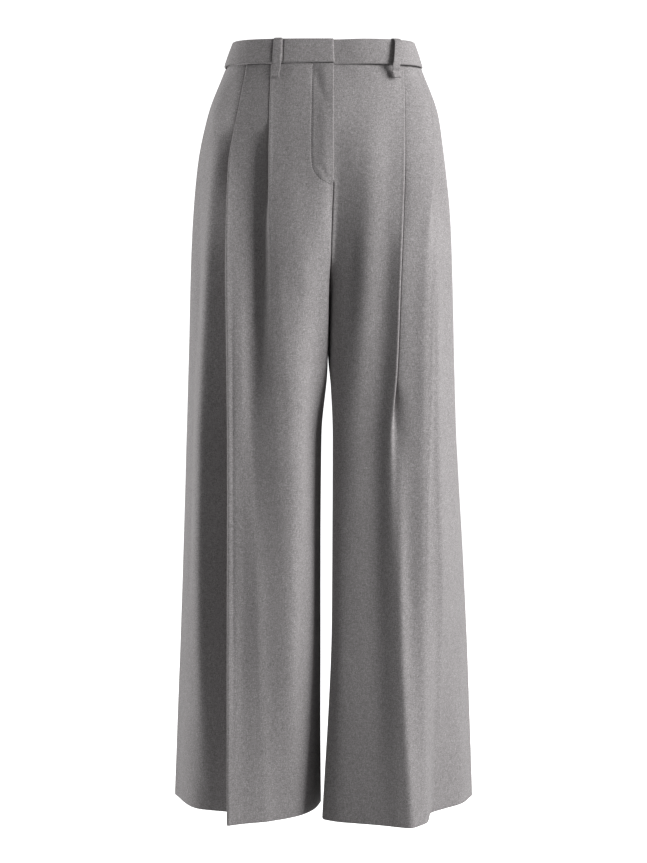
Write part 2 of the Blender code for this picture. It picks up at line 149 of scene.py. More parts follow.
LEFT_FRONT = {
    "side": (
        (139.5, 0), (163.5, 0), (173, 0), (179, 0), (183, 0),
        (188.5, 0), (193, 0), (209, -4), (221.5, -14),
    ),
    "hip": (
        (137, -25), (159.5, -33), (171, -42), (178, -52), (181, -58),
        (185, -62), (188, -62), (197, -56), (203, -52),
    ),
    "outer pleat": (
        (131.5, -42), (153, -56), (155, -87), (147, -109), (141, -119.5),
        (139, -127.5), (139, -130), (140.5, -137), (148, -135),
    ),
    "mid": (
        (120, -58), (136, -74), (133, -100), (124, -114.5), (117, -122),
        (115, -127.5), (115, -130.5), (120, -140), (130, -154),
    ),
    "inner pleat": (
        (111, -68.5), (112, -86), (111, -107), (108.5, -118.5), (105.5, -126.5),
        (100.5, -130), (94, -133.5), (98, -143.5), (107, -154),
    ),
    "valley": (
        (91, -81), (92, -94), (90, -110.5), (89, -119.5), (85, -122),
        (79, -120), (73, -121), (78, -131), (84, -146),
    ),
    "ridge": (
        (61, -91), (63, -103.5), (63, -119), (64, -124.5), (62, -126),
        (55, -122), (48, -120), (48, -128), (45, -137),
    ),
    "facet": (
        (40, -94.5), (40, -107.5), (40, -118), (38, -118.3), (31, -113),
        (20, -107), (18, -107), (19, -121), (20, -131),
    ),
    "corner": (
        (22, -95.6), (22, -110.3), (21, -116), (19, -112.5), (15, -105),
        (9.5, -94), (12.5, -93), (11, -108), (-3, -119),
    ),
}
RIGHT_BACK = {
    "hip": (
        (-128, 49), (-149, 50), (-163, 53.5), (-170, 54), (-173, 54),
        (-177.5, 54), (-181, 54), (-190, 54), (-202, 50),
    ),
    "fold": (
        (-108, 70), (-128, 73), (-141, 77.5), (-148, 77), (-151, 76),
        (-155.5, 73.5), (-159, 72), (-166, 71), (-173, 69),
    ),
    "crease": (
        (-80, 85), (-96, 92), (-106, 100), (-111, 104), (-113, 106),
        (-114.5, 107.5), (-116, 109), (-120, 111), (-125, 113),
    ),
    "seat": (
        (-48, 93.3), (-56, 106), (-60, 117), (-60, 120), (-60, 117),
        (-60, 108), (-60, 104), (-62, 100), (-66, 98),
    ),
    "corner": (
        (-22, 95.2), (-22, 111), (-20, 123.5), (-17, 125), (-13, 117),
        (-15.5, 100.5), (-18, 94), (-22, 88), (-24, 84),
    ),
}
LEFT_BACK = {
    "hip": (
        (128, 49), (148, 50), (157, 53), (163, 53), (166, 54),
        (171.5, 51.5), (176, 50), (190, 46), (201, 38),
    ),
    "fold": (
        (108, 70), (128, 72.5), (137, 76), (143, 75.5), (146, 74),
        (150.5, 69.5), (154, 67), (163, 64), (172, 60),
    ),
    "crease": (
        (78, 85.7), (94, 93), (102, 100.5), (106, 104), (109, 107),
        (112, 110), (114, 112), (120, 114), (126, 116),
    ),
    "seat": (
        (40, 94.5), (46, 108), (48, 119), (50, 121), (52, 117),
        (58, 108), (62, 104), (66, 100), (66, 98),
    ),
    "corner": (
        (-6, 95.8), (-5, 112), (-3, 124), (-1, 125), (3, 117),
        (13.5, 99.5), (20, 92), (24, 84), (16, 80),
    ),
}
FRONTS = {"right": RIGHT_FRONT, "left": LEFT_FRONT}
BACKS = {"right": RIGHT_BACK, "left": LEFT_BACK}

# Each pleat at each of DROPS: how far its underlay reaches (mm), and the angle it has opened to
# (degrees: 0 is pressed flat, 90 stands straight in, 180 lies open)
PLEATS = {
    "right": {
        "outer pleat": (
            (24, 0), (24, 6), (20, 43), (14, 56), (18, 73),
            (24, 80), (32, 79), (52, 72), (56, 61),
        ),
        "inner pleat": (
            (23, 0), (23, 4), (12, 60), (15, 118), (19, 136),
            (28, 156), (32, 164), (30, 172), (18, 172),
        ),
    },
    "left": {
        "outer pleat": (
            (20, 0), (20, 8), (18, 40), (15, 110), (14, 144),
            (16, 148), (18, 148), (28, 142), (40, 144),
        ),
        "inner pleat": (
            (22, 0), (22, 4), (21, 5), (20, 5), (16, 5),
            (9, 5), (4, 70), (4, 165), (10, 172),
        ),
    },
}
# The angles between which the layer below a pleat lets go of the pleat's edge
SETTLE_FROM = 6.0
SETTLE_TO = 20.0
# How far along it then lies from the lap to the line before the pleat
LET_GO = 0.45
# How far the lap's two layers stand apart once a pleat is open, and how round its deep turn is
OPEN_SPREAD = 5.0
DEEP_ROUNDNESS = 0.45

# How round each pleat's edge is at each of DROPS, and every other fold (mm)
PLEAT_SOFTNESS = {
    "right": {
        "outer pleat": (0.5, 0.5, 0.6, 0.6, 0.7, 0.8, 0.9, 1.1, 1.3),
        "inner pleat": (0.5, 0.5, 0.6, 0.8, 1.3, 3.5, 6, 9, 10),
    },
    "left": {
        "outer pleat": (0.5, 0.8, 2, 3, 4, 4, 4, 5, 6),
        "inner pleat": (0.5, 0.5, 0.6, 0.6, 0.7, 0.9, 4, 14, 14),
    },
}
SOFT_FOLD = 5.0
# A section is averaged over no more than this share of the way to its end, and no less than this;
# a pleat's softness holds over this share of its reach and is gone this far past it (mm)
END_SHARE = 0.4
LEAST_RADIUS = 0.05
PLEAT_HOLDS = 0.4
PLEAT_GONE = 12.0
# A closed pleat's lower layer: how far it is pressed up towards the top layer, the groove beside
# the edge (from, to) and the stretch over which the lift fades (from, to), then the bead that
# pressing leaves along a sharp edge: its height, its place and its half width
PRESS_LIFT = 1.9
PRESS_GROOVE = (0.4, 2.2)
PRESS_FADE = (6.0, 26.0)
PRESS_ANGLES = (15.0, 75.0)
BEAD = (0.4, 1.1, 1.9)
BEAD_SOFTNESS = (1.2, 4.0)

# The legs' inseams at each of INSEAM_DROPS
INSEAM_DROPS = (350, 450, 550, 800, 1097)
INSEAMS = {
    "right": ((2, -12), (5.5, -14), (-8, -22), (-9, -28), (-3.5, -34)),
    "left": ((2, -12), (7, -12), (19, -14), (20, -18), (9, -26)),
}

# The centre front and centre back seams at each of CENTRE_DROPS
CENTRE_DROPS = (35, 100, 170, 240, 310)
CENTRES = {
    "front": ((14, -96), (14, -111.5), (14, -117), (12, -114), (10, -107)),
    "back": ((-14, 95.5), (-13, 111.7), (-11, 123.8), (-9, 125), (-6, 120)),
}

# Waistband: half width and half depth of its outer face at its top and at its foot. Its plan is
# a superellipse, squarer than an ellipse, with this mean radius as a share of the foot's half width.
BAND_WALL = 2.2
BAND_TOP_HALF = (128.0, 94.0)
BAND_FOOT_HALF = (140.0, 97.5)
BAND_SQUARENESS = 3.0
BAND_MEAN = 0.85
CENTRE_TURN = 5.8
# The strip's section: its foot as (depth, height over the groove), how its top is rounded, and
# the drops that its two faces leave free above the foot and share at the top
BAND_HEM = ((0.95, -0.1), (0.5, 0.0), (0.2, 0.15), (0.05, 0.6))
BAND_TOP_RISE = 1.3
BAND_TOP_START = 0.25
BAND_SHOULDER = 2.0
BAND_OUTER_FREE = 1.6
BAND_INNER_FREE = 1.0
BAND_POINTS = {"outer": 12, "top": 9, "inner": 8}
# Small waves in it: their height, their size along and down, and the radius they are taken at
BAND_WAVE = 0.25
BAND_WAVE_SIZE = (30.0, 18.0)
BAND_WAVE_RADIUS = 130.0
# The underlap: its length and inset, and the turns past the lap's end over which it comes out
UNDERLAP = 38.0
UNDERLAP_INSET = BAND_WALL + 2.6
UNDERLAP_RAMP = (-1.6, 0.1)
RAMP_CELLS = 12
# How far the left half stands in and hangs lower beside the lap, and over how many turns
BAND_LAP_STEP = 1.5
BAND_LAP_SAG = 1.3
LAP_STEP_TURNS = 16.0
LAP_SAG_TURNS = 22.0
# Turns between the strip's points: near its ends, along it, and round the dents beside a loop
END_TURNS = (0, 0.03, 0.08, 0.16, 0.3, 0.5)
BAND_STEP = 1.0
DENT_REACH = 4.0
DENT_STEP = 0.12

# Belt loops: the turn round the waist of each one's middle at its top and at its foot (degrees
# from the front, + to +X), and how far it stands off the band (mm)
LOOPS = {
    "belt_loop_front_right": (-26.7, -25.2, 3.0),
    "belt_loop_front_left": (43.6, 38.5, 7.6),
    "belt_loop_back_right": (-128.0, -128.0, 7.6),
    "belt_loop_back_left": (118.0, 118.0, 7.6),
    "belt_loop_centre_back": (-174.2, -174.2, 7.6),
}
LOOP_WIDTH = 11.5
LOOP_THICK = 1.6
LOOP_GAP = 0.4
LOOP_LIP = 1.5
LOOP_FOOT = (43.5, 50.0)
# How far the layers folded under at a loop's foot lift it, and its turned edge from there:
# (distance in, distance down)
LOOP_HEM = 0.9
LOOP_EDGE = ((0.0, 0.0), (1.4, 1.2), (3.0, 1.3))
# A loop's section: points round it, how square its sides and its faces are, the hollow along its
# middle, the share of its thickness left at its ends, and how uneven its width is
LOOP_ROUND = 28
LOOP_SIDES = 0.35
LOOP_FACES = 0.7
LOOP_HOLLOW = 0.25
LOOP_END = 0.6
LOOP_UNEVEN = (0.03, 0.35)
# Dents of the band beside the close loop: depth (mm), and place and half width in turns
LOOP_DENTS = ((2.2, 2.95, 0.33), (1.2, -2.85, 0.25))
# Shares of the band's height at which a loop reaches its full stand, leaves it and meets the foot
LOOP_STATIONS = (0.2, 0.85, 1.06)

# How an edge is rolled in to its seam: over what length it is drawn back, and how deep it goes on
TURN_REACH = 9.0
TURN_DEPTH = 1.6
# A panel's edges, as (drop from its top or from the hem, inset): rolled in to the waist seam, and
# turned up inside at the hem
WAIST_ROLL = ((0.0, 4.0), (0.02, 2.0), (0.15, 0.9), (0.5, 0.25), (1.2, 0.0), (2.6, 0.0))
HEM_ROLL = ((-3, 0.0), (-1.0, 0.1), (-0.3, 0.4), (0, 1.0), (-0.3, 1.6), (-1.0, 1.9), (-3, 2.0))
HEM_SHARES = (0.35, 0.7, 1.0)
HEM_INSET = 2.1

# The fly zip's teeth, behind the fronts' right side
TEETH_TOP = 55.5
TEETH_FOOT = 174.0
TEETH_DEPTH = 4.7
TEETH_WIDTH = 5.0
TOOTH_THICK = 1.5
TOOTH_HEIGHT = 1.3
TOOTH_PITCH = 3.2
TOOTH_LAP = 0.9
TOOTH_FACES = ((0, 1, 3, 2), (4, 6, 7, 5), (0, 4, 5, 1), (2, 3, 7, 6), (0, 2, 6, 4), (1, 5, 7, 3))

# Fineness of the meshes: cells in each stretch between lines, and the steps down the panels
FINE = 18
FLY_FINE = 44
STRIP_CELLS = 10
ROUND_CELLS = 5
LOOP_CELLS = 8
TURN_CELLS = 4
ROW_STEP_FLY = 2.7
ROW_STEP_HIP = 6.0
ROW_STEP_LEG = 11.0

# The stage, in metres: a round floor that turns up into a wall
FLOOR_HEIGHT = -1.25
STAGE_RADIUS = 5.0
STAGE_BEND = 0.8
STAGE_HEIGHT = 4.0
STAGE_CELLS = 96
BEND_CELLS = 11

# The lights: (azimuth from the front towards +X in degrees, height, distance, size, watts), all
# turned to the middle of the legs, and the strength of the even light from all round
LIGHTS = {
    "key": (65, 0.3, 2.6, (1.5, 1.5), 110),
    "fill": (-93, -0.3, 2.4, (0.8, 1.8), 46),
}
LIT_PLACE = (0, 0, -0.5)
WORLD_STRENGTH = 0.19

# The camera, in metres, and its pitch below the horizon in degrees
CAMERA_DISTANCE = 2.6
CAMERA_HEIGHT = -0.2185
CAMERA_PITCH = 7.33
CAMERA_LENS = 75.05
SENSOR_WIDTH = 36


# ---------------------------------------------------------------- curves and sections


def unit(vectors):
    """The vectors at length 1."""
    vectors = np.asarray(vectors, float)
    return vectors / np.linalg.norm(vectors, axis=-1, keepdims=True)


def ease(value, start, end):
    """0 before start, 1 after end, and a smooth step between."""
    share = np.clip((np.asarray(value, float) - start) / (end - start), 0, 1)
    return share * share * (3 - 2 * share)


def smooth(knots, values, at):
    """A curve through the values that never overshoots them (monotone cubic), read at some places."""
    knots = np.asarray(knots, float)
    values = np.asarray(values, float).reshape(len(knots), -1)
    at = np.clip(np.atleast_1d(at), knots[0], knots[-1])
    step = np.diff(knots)[:, None]
    slope = np.diff(values, axis=0) / step
    tangent = np.vstack([slope[:1], np.zeros((len(knots) - 2, values.shape[1])), slope[-1:]])
    if len(knots) > 2:
        before, after = slope[:-1], slope[1:]
        agree = before * after > 0
        weight_before = step[:-1] + 2 * step[1:]
        weight_after = 2 * step[:-1] + step[1:]
        parts = weight_before / np.where(agree, before, 1) + weight_after / np.where(agree, after, 1)
        tangent[1:-1] = np.where(agree, (weight_before + weight_after) / parts, 0)
    cell = np.clip(np.searchsorted(knots, at, side="right") - 1, 0, len(knots) - 2)
    width = step[cell]
    u = (at - knots[cell])[:, None] / width
    return (
        (1 + 2 * u) * (1 - u) ** 2 * values[cell]
        + u * (1 - u) ** 2 * width * tangent[cell]
        + u**2 * (3 - 2 * u) * values[cell + 1]
        + u**2 * (u - 1) * width * tangent[cell + 1]
    )


def at_drop(line, drop, drops=DROPS):
    return smooth(drops, line, drop)[0]


def arc_length(points):
    return np.concatenate([[0], np.cumsum(np.linalg.norm(np.diff(points, axis=0), axis=1))])


def curve_through(points, cells, from_edge=False, to_edge=None):
    """Points on a smooth curve through the given ones; cells is how many each stretch gets.

    They lie closer together at a pleat's edge: at the start, or at the end of stretch to_edge.
    """
    points = np.asarray(points, float)
    knots = arc_length(points)
    if isinstance(cells, int):
        cells = [cells] * (len(knots) - 1)
    at = [knots[0]]
    for index, (start, end, count) in enumerate(zip(knots, knots[1:], cells)):
        share = np.linspace(0, 1, count + 1)[1:]
        if from_edge and index == 0:
            share = share**2
        if index == to_edge:
            share = 1 - (1 - share) ** 2
        at.extend(start + share * (end - start))
    return smooth(knots, points, np.array(at))


def bend(start, leaving, end, arriving, handle):
    """A rounded turn from one point to another, without its two ends (cubic Bezier)."""
    share = np.linspace(0, 1, ROUND_CELLS + 1)[1:-1, None]
    first = start + handle * leaving
    last = end - handle * arriving
    return (
        (1 - share) ** 3 * start
        + 3 * (1 - share) ** 2 * share * first
        + 3 * (1 - share) * share**2 * last
        + share**3 * end
    )


def pleat(edge, ahead, reach, angle):
    """A pleat's points: the layer below it, its lap's two corners and its edge's two corners.

    The top layer runs from the edge towards the line ahead of it. The underlay turns back under
    the edge, reaches in along strip, and turns again at the lap into the layer below.
    """
    along = unit(ahead - edge)
    inward = np.array([-along[1], along[0]]) if along[0] > 0 else np.array([along[1], -along[0]])
    turn = math.radians(angle)
    strip = math.cos(turn) * along + math.sin(turn) * inward
    across = -math.sin(turn) * along + math.cos(turn) * inward
    half = math.cos(turn / 2) * inward - math.sin(turn / 2) * along
    edge_under = edge + PLEAT_STEP * half
    deep = edge_under + reach * strip
    spread = PLY_GAP + OPEN_SPREAD * min(angle / 90, 1)
    out = min(turn, math.pi / 2)
    deep_under = deep + spread * (math.cos(out) * inward - math.sin(out) * along)
    below = edge_under + PLY_GAP * across
    return {
        "below": below,
        "deep_under": deep_under,
        "deep": deep,
        "edge_under": edge_under,
        "edge": edge,
        "along": along,
        "inward": inward,
        "strip": strip,
        "edge_handle": PLEAT_STEP / 2 * 4 / 3 * math.tan((math.pi - turn) / 4),
        "deep_handle": DEEP_ROUNDNESS * spread,
    }


def centre_end(face, side, drop):
    """Where a panel ends at one drop: on the centre seam, on the crotch curve or on the inseam."""
    sign = -1 if side == "right" else 1
    if drop >= FORK:
        end = at_drop(INSEAMS[side], drop, INSEAM_DROPS)
        end[1] += (-0.5 if face == "front" else 0.5) * SEAM
    else:
        centre = at_drop(CENTRES[face], drop, CENTRE_DROPS)
        top = FRONT_CURVE_TOP if face == "front" else BACK_CURVE_TOP
        fall = min(max((drop - top) / (FORK - top), 0), 1)
        fork = np.array([FORK_X, FORK_Y])
        end = fork + math.sqrt(1 - fall**2) * (centre - fork)
    if drop <= FORK:
        end[0] += sign * 0.5 * SEAM
    return end


def pressed_layer(points, fold, angle):
    """The layer below a closed pleat, nearly level with the top one but for a groove at its edge."""
    beyond = (fold["edge"] - points) @ fold["along"]
    lift = PRESS_LIFT * (1 - ease(angle, *PRESS_ANGLES))
    lift = lift * ease(beyond, *PRESS_GROOVE) * (1 - ease(beyond, *PRESS_FADE))
    return points - lift[:, None] * fold["inward"]


def pressed_edge(points, fold, softness):
    """The top layer, with a slight bead along a sharply pressed edge."""
    height, place, half_width = BEAD
    past = (points - fold["edge"]) @ fold["along"]
    bead = height * (1 - ease(softness, *BEAD_SOFTNESS)) * np.exp(-(((past - place) / half_width) ** 2))
    return points - bead[:, None] * fold["inward"]


def front_section(side, drop):
    """The right side of a front panel at one drop, from the side seam to the centre or inseam."""
    lines = {name: at_drop(line, drop) for name, line in FRONTS[side].items()}
    names = list(lines)
    run = []
    pieces = []
    top = None
    for index, name in enumerate(names):
        if not name.endswith("pleat"):
            run.append(lines[name])
            continue
        reach, angle = at_drop(PLEATS[side][name], drop)
        fold = pleat(lines[name], lines[names[index + 1]], reach, angle)
        settled = min(max((angle - SETTLE_FROM) / (SETTLE_TO - SETTLE_FROM), 0), 1)
        onward = fold["deep_under"] + LET_GO * (run[-1] - fold["deep_under"])
        run += [fold["below"] + settled * (onward - fold["below"]), fold["deep_under"]]
        layer = curve_through(run, FINE, from_edge=top is not None, to_edge=len(run) - 3)
        if top is not None:
            layer = pressed_edge(layer, *top)
        pieces.append(pressed_layer(layer, fold, angle))
        arriving = unit(run[-1] - pieces[-1][-2])
        back = -fold["strip"]
        pieces.append(bend(fold["deep_under"], arriving, fold["deep"], back, fold["deep_handle"]))
        pieces.append(np.linspace(fold["deep"], fold["edge_under"], STRIP_CELLS + 1))
        pieces.append(bend(fold["edge_under"], back, fold["edge"], fold["along"], fold["edge_handle"]))
        run = [fold["edge"]]
        top = (fold, smooth(DROPS, PLEAT_SOFTNESS[side][name], drop)[0, 0])
    past_pleats = names[names.index("inner pleat") + 1:]
    cells = [FLY_FINE if name == "corner" else FINE for name in past_pleats]
    pieces.append(pressed_edge(curve_through(run, cells, from_edge=True), *top))
    end = centre_end("front", side, drop)
    if side == "left":
        end[0] -= LAP_EXTRA * on_fly(drop)
    pieces.append(np.linspace(run[-1], end, FINE + 1)[1:])
    return np.vstack(pieces)


def on_fly(drop):
    """1 along the fly's lap, falling to 0 at its foot."""
    return 1 - ease(drop, FLY_BOTTOM + FLY_FADE[0], FLY_BOTTOM + FLY_FADE[1])


def back_section(side, drop):
    """The right side of a back panel at one drop, from the side seam to the centre or inseam."""
    run = [at_drop(FRONTS[side]["side"], drop)]
    run += [at_drop(line, drop) for line in BACKS[side].values()]
    to_centre = np.linspace(run[-1], centre_end("back", side, drop), FINE + 1)[1:]
    return np.vstack([curve_through(run, FINE), to_centre])


def soften(points, radii):
    """The points averaged along their line, each over its own distance. The two ends stay."""
    place = arc_length(points)
    share = np.gradient(place)
    to_end = np.minimum(place, place[-1] - place)
    radii = np.minimum(radii, END_SHARE * to_end) + LEAST_RADIUS
    near = share * np.exp(-0.5 * ((place - place[:, None]) / radii[:, None]) ** 2)
    averaged = near @ points / near.sum(axis=1, keepdims=True)
    averaged[[0, -1]] = points[[0, -1]]
    return averaged


def fold_softness(face, side, drop, points):
    """How round the folds are at each point of a section (mm): tight at a pressed pleat's edge."""
    radii = np.full(len(points), SOFT_FOLD)
    if face == "back":
        return radii
    for name, line in PLEAT_SOFTNESS[side].items():
        edge = at_drop(FRONTS[side][name], drop)
        reach, _ = at_drop(PLEATS[side][name], drop)
        away = np.linalg.norm(points - edge, axis=1)
        tight = smooth(DROPS, line, drop)[0, 0]
        loose = ease(away, PLEAT_HOLDS * reach, reach + PLEAT_GONE)
        radii = np.minimum(radii, tight + (SOFT_FOLD - tight) * loose)
    return radii


def section(face, side, drop):
    points = front_section(side, drop) if face == "front" else back_section(side, drop)
    points = soften(points, fold_softness(face, side, drop, points))
    points[0, 1] += (-0.5 if face == "front" else 0.5) * SEAM
    return points


# ---------------------------------------------------------------- relief

# Soft creases on a front: (depth, half width, path), all in mm. A path is (x, drop) points seen from
# the front. A positive depth is a trough and a negative one a ridge; it fades out at both ends.
FRONT_CREASES = {
    "right": (
        (2.4, 4.5, ((-172, 130), (-176, 231), (-178, 370), (-185, 461), (-190, 600), (-196, 900))),
        (0.6, 2.2, ((-126, 250), (-126, 600), (-127, 1040))),
        (1.1, 7.0, ((-17, 30), (-6, 62), (6, 96))),
        (0.9, 4.0, ((-6, 168), (1, 180), (6, 196))),
        (0.7, 9.0, ((-36, 260), (-28, 420), (-40, 640))),
        (-0.6, 8.0, ((-92, 620), (-88, 800), (-84, 1000))),
    ),
    "left": (
        (2.2, 6.5, ((155, 215), (165, 340), (167, 430), (167, 570))),
        (-0.9, 2.8, ((158, 240), (151, 365), (150, 480), (146, 620), (146, 900))),
        (0.8, 10.0, ((44, 230), (40, 320), (30, 430))),
        (-0.7, 6.0, ((172, 640), (180, 800), (186, 1000))),
        (0.8, 3.0, ((206, 620), (212, 800), (216, 1040))),
    ),
}
BACK_CREASES = {
    "right": (
        (1.8, 7.0, ((-122, 170), (-128, 420), (-140, 760))),
        (-1.3, 6.0, ((-92, 240), (-98, 500), (-104, 820))),
        (1.1, 9.0, ((-28, 225), (-50, 320), (-72, 520))),
        (0.9, 5.0, ((-178, 290), (-186, 560), (-192, 830))),
        (0.8, 12.0, ((-60, 520), (-54, 760), (-66, 1010))),
    ),
    "left": (
        (2.0, 8.0, ((116, 150), (130, 390), (138, 690))),
        (-1.1, 5.0, ((90, 300), (98, 560), (106, 930))),
        (1.3, 8.0, ((14, 245), (42, 335), (66, 490))),
        (0.8, 6.0, ((174, 250), (184, 520), (192, 760))),
        (1.0, 11.0, ((58, 560), (52, 800), (64, 1040))),
    ),
}
# The fly's stitching, as (x, drop), and the trough it pulls into the cloth
FLY_STITCHING = ((-14.3, 36), (-15.6, 100), (-16, 156), (-14.3, 174), (-4.9, 188), (12.4, 198.5))
FLY_TROUGH = (0.55, 1.5)
STITCH_LENGTH = 2.3
STITCH_PITCH = 3.1
STITCH_RADIUS = 0.34
STITCH_SIDES = 6
# A stitch's path: (share of its length, height over the cloth in radii)
STITCH_PATH = ((0.0, -0.6), (0.15, 0.3), (0.5, 0.55), (0.85, 0.3), (1.0, -0.6))
# The share of a crease's length over which it fades at either end
CREASE_FADE = 0.3
# The cloth's small waves, (size, height), and how much longer they are down than across
WAVES = ((70.0, 0.55), (24.0, 0.18), (9.0, 0.06))
WAVE_STRETCH = 3.2
# A leg's axis, and the drops from the fork over which the relief turns from the body to the legs
LEG_AXIS = (105.0, -12.0)
LEG_BLEND = (-120.0, 80.0)
# How much more than its width a panel's depth counts in the direction outwards
DEPTH_WEIGHT = 1.35


def outwards(points, drops, side):
    """The direction out of the body or the leg at each point, as plan vectors."""
    sign = -1 if side == "right" else 1
    into_leg = ease(drops, FORK + LEG_BLEND[0], FORK + LEG_BLEND[1])[..., None]
    axis = into_leg * np.array([sign * LEG_AXIS[0], LEG_AXIS[1]])
    away = points - axis
    away[..., 1] *= DEPTH_WEIGHT
    return unit(away)


def crease_depth(x, drops, creases):
    """How far the creases press the cloth in at each place."""
    total = np.zeros_like(x)
    for depth, half_width, path in creases:
        path = np.asarray(path, float)
        at = np.clip(drops, path[0, 1], path[-1, 1])
        middle = smooth(path[:, 1], path[:, 0], at.ravel())[:, 0].reshape(x.shape)
        faded = CREASE_FADE * (path[-1, 1] - path[0, 1])
        fade = ease(drops, path[0, 1], path[0, 1] + faded)
        fade *= 1 - ease(drops, path[-1, 1] - faded, path[-1, 1])
        total += depth * fade * np.exp(-(((x - middle) / half_width) ** 2))
    return total


def fly_curve():
    """The fly's line of stitching, as (x, drop) points about a millimetre apart."""
    rough = curve_through(FLY_STITCHING, 30)
    place = arc_length(rough)
    at = np.linspace(0, place[-1], int(place[-1]) + 1)
    return np.stack([np.interp(at, place, rough[:, axis]) for axis in (0, 1)], -1)


def stitched_trough(x, drops):
    """How far the fly's stitching pulls the cloth in at each place."""
    depth, half_width = FLY_TROUGH
    away = np.full(x.shape, np.inf)
    for stitch_x, stitch_drop in fly_curve():
        away = np.minimum(away, np.hypot(x - stitch_x, drops - stitch_drop))
    return depth * np.exp(-((away / half_width) ** 2))


def unevenness(points, drops):
    """Small waves that hanging cloth always has, longer down than across."""
    rows, columns = drops.shape
    waves = np.zeros_like(drops)
    for size, height in WAVES:
        for row in range(rows):
            for column in range(columns):
                x, y = points[row, column]
                down = drops[row, column] / (WAVE_STRETCH * size)
                place = Vector((x / size, y / size, down))
                waves[row, column] += height * noise.noise(place)
    return waves


# ---------------------------------------------------------------- meshes


def new_object(name, vertices, faces):
    """An object from points in millimetres, smooth shaded."""
    mesh = bpy.data.meshes.new(name)
    mesh.from_pydata((np.asarray(vertices) * MM).tolist(), [], faces)
    mesh.validate()
    mesh.shade_smooth()
    made = bpy.data.objects.new(name, mesh)
    bpy.context.scene.collection.objects.link(made)
    return made


def grid_faces(rows, columns, flipped=False, closed=False):
    faces = []
    for row in range(rows - 1):
        for column in range(columns if closed else columns - 1):
            following = (column + 1) % columns
            corners = (
                row * columns + column,
                row * columns + following,
                (row + 1) * columns + following,
                (row + 1) * columns + column,
            )
            faces.append(corners[::-1] if flipped else corners)
    return faces


def thicken(piece, thickness):
    """Gives a sheet its thickness, on its inner side."""
    shell = piece.modifiers.new("thickness", "SOLIDIFY")
    shell.thickness = thickness * MM
    shell.offset = -1
    shell.use_rim = True


def as_cloth(piece, node):
    """Makes a piece the cloth that is shown for a node."""
    piece.data.materials.append(wool())
    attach(piece, "root")
    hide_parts(node)


def shortened(points, radii):
    """A section drawn back from both of its ends, by the radius each is rolled in to."""
    place = arc_length(points)
    start = radii[0] * np.clip(1 - place / TURN_REACH, 0, 1)
    end = radii[1] * np.clip(1 - (place[-1] - place) / TURN_REACH, 0, 1)
    at = place + start - end
    return np.stack([np.interp(at, place, points[:, axis]) for axis in (0, 1)], -1)


def turned_in(points, inward_sign, radii):
    """A section with both of its edges rolled in to the seams."""
    angles = np.linspace(0, math.pi / 2, TURN_CELLS + 1)[1:, None]
    flat = shortened(points, radii)
    strips = []
    for end, neighbour, edge_sign, radius in (
        (flat[0], flat[1], inward_sign, radii[0]),
        (flat[-1], flat[-2], -inward_sign, radii[1]),
    ):
        along = unit(end - neighbour)
        inward = edge_sign * np.array([along[1], -along[0]])
        arc = end + radius * (np.sin(angles) * along + (1 - np.cos(angles)) * inward)
        strips.append(np.vstack([arc, arc[-1] + TURN_DEPTH * inward]))
    return np.vstack([strips[0][::-1], flat, strips[1]])


def panel_rows():
    """The drops of a panel's rows, with each row's inset."""
    rows = [(PANEL_TOP + below, inset) for below, inset in WAIST_ROLL]
    for start, end, step in (
        (PANEL_TOP + 5, FLY_BOTTOM + 12, ROW_STEP_FLY),
        (FLY_BOTTOM + 12, FORK, ROW_STEP_HIP),
        (FORK, HEM - 6, ROW_STEP_LEG),
    ):
        rows += [(drop, 0.0) for drop in np.arange(start, end - 0.3 * step, step)]
    rows += [(HEM + above, inset) for above, inset in HEM_ROLL]
    rows += [(HEM - share * HEM_DEPTH, HEM_INSET) for share in HEM_SHARES]
    return rows


def edge_radii(face, side, drop):
    """The radii a section's edges are rolled to, at the side seam and at the centre or inseam."""
    if face == "back" or drop > FORK:
        return EDGE_RADIUS, EDGE_RADIUS
    if side == "right":
        return EDGE_RADIUS, EDGE_RADIUS + (LAP_RADIUS - EDGE_RADIUS) * on_fly(drop)
    return EDGE_RADIUS, CENTRE_RADIUS * (1 - on_fly(drop)) + EDGE_RADIUS * on_fly(drop)


def lap_stand(points, drop):
    """How far the fly's lap stands out over the left front."""
    return LAP_STAND * ease(points[:, 0], *LAP_ACROSS) * on_fly(drop)


def waist_rise(side, y):
    """How far above its drop the waist seam runs: highest on the lapped side, level behind."""
    return SEAM_RISE[side] * ease(-np.asarray(y), 0, RISE_REACH)


